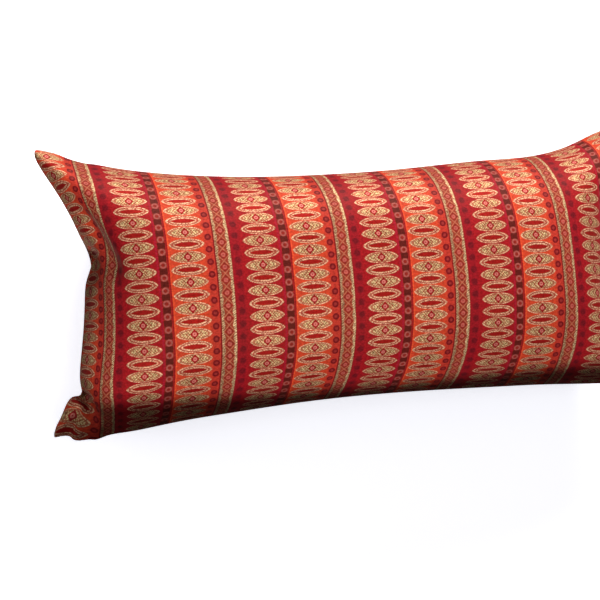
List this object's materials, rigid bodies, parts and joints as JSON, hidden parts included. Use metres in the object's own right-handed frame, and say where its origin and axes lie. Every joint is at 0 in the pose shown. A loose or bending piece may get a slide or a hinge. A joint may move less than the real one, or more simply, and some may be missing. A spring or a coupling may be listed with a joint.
{
  "type": "lumbar pillow cover",
  "caption": "Long lumbar cushion in a filled cover of striped brocade, with a knife edge seam and pointed corners.",
  "frame": {"origin": "middle of the box at the level of the resting face", "axes": "+X along the cushion's length, +Y across it towards the edge that was uppermost, +Z out of the shown face"},
  "size_m": [0.6096, 0.277, 0.1427],
  "materials": {
    "brocade": "woven silk brocade in crimson, orange and maroon stripes with gold thread"
  },
  "bodies": {
    "root": {"filled_cover": "brocade"}
  },
  "joints": []
}
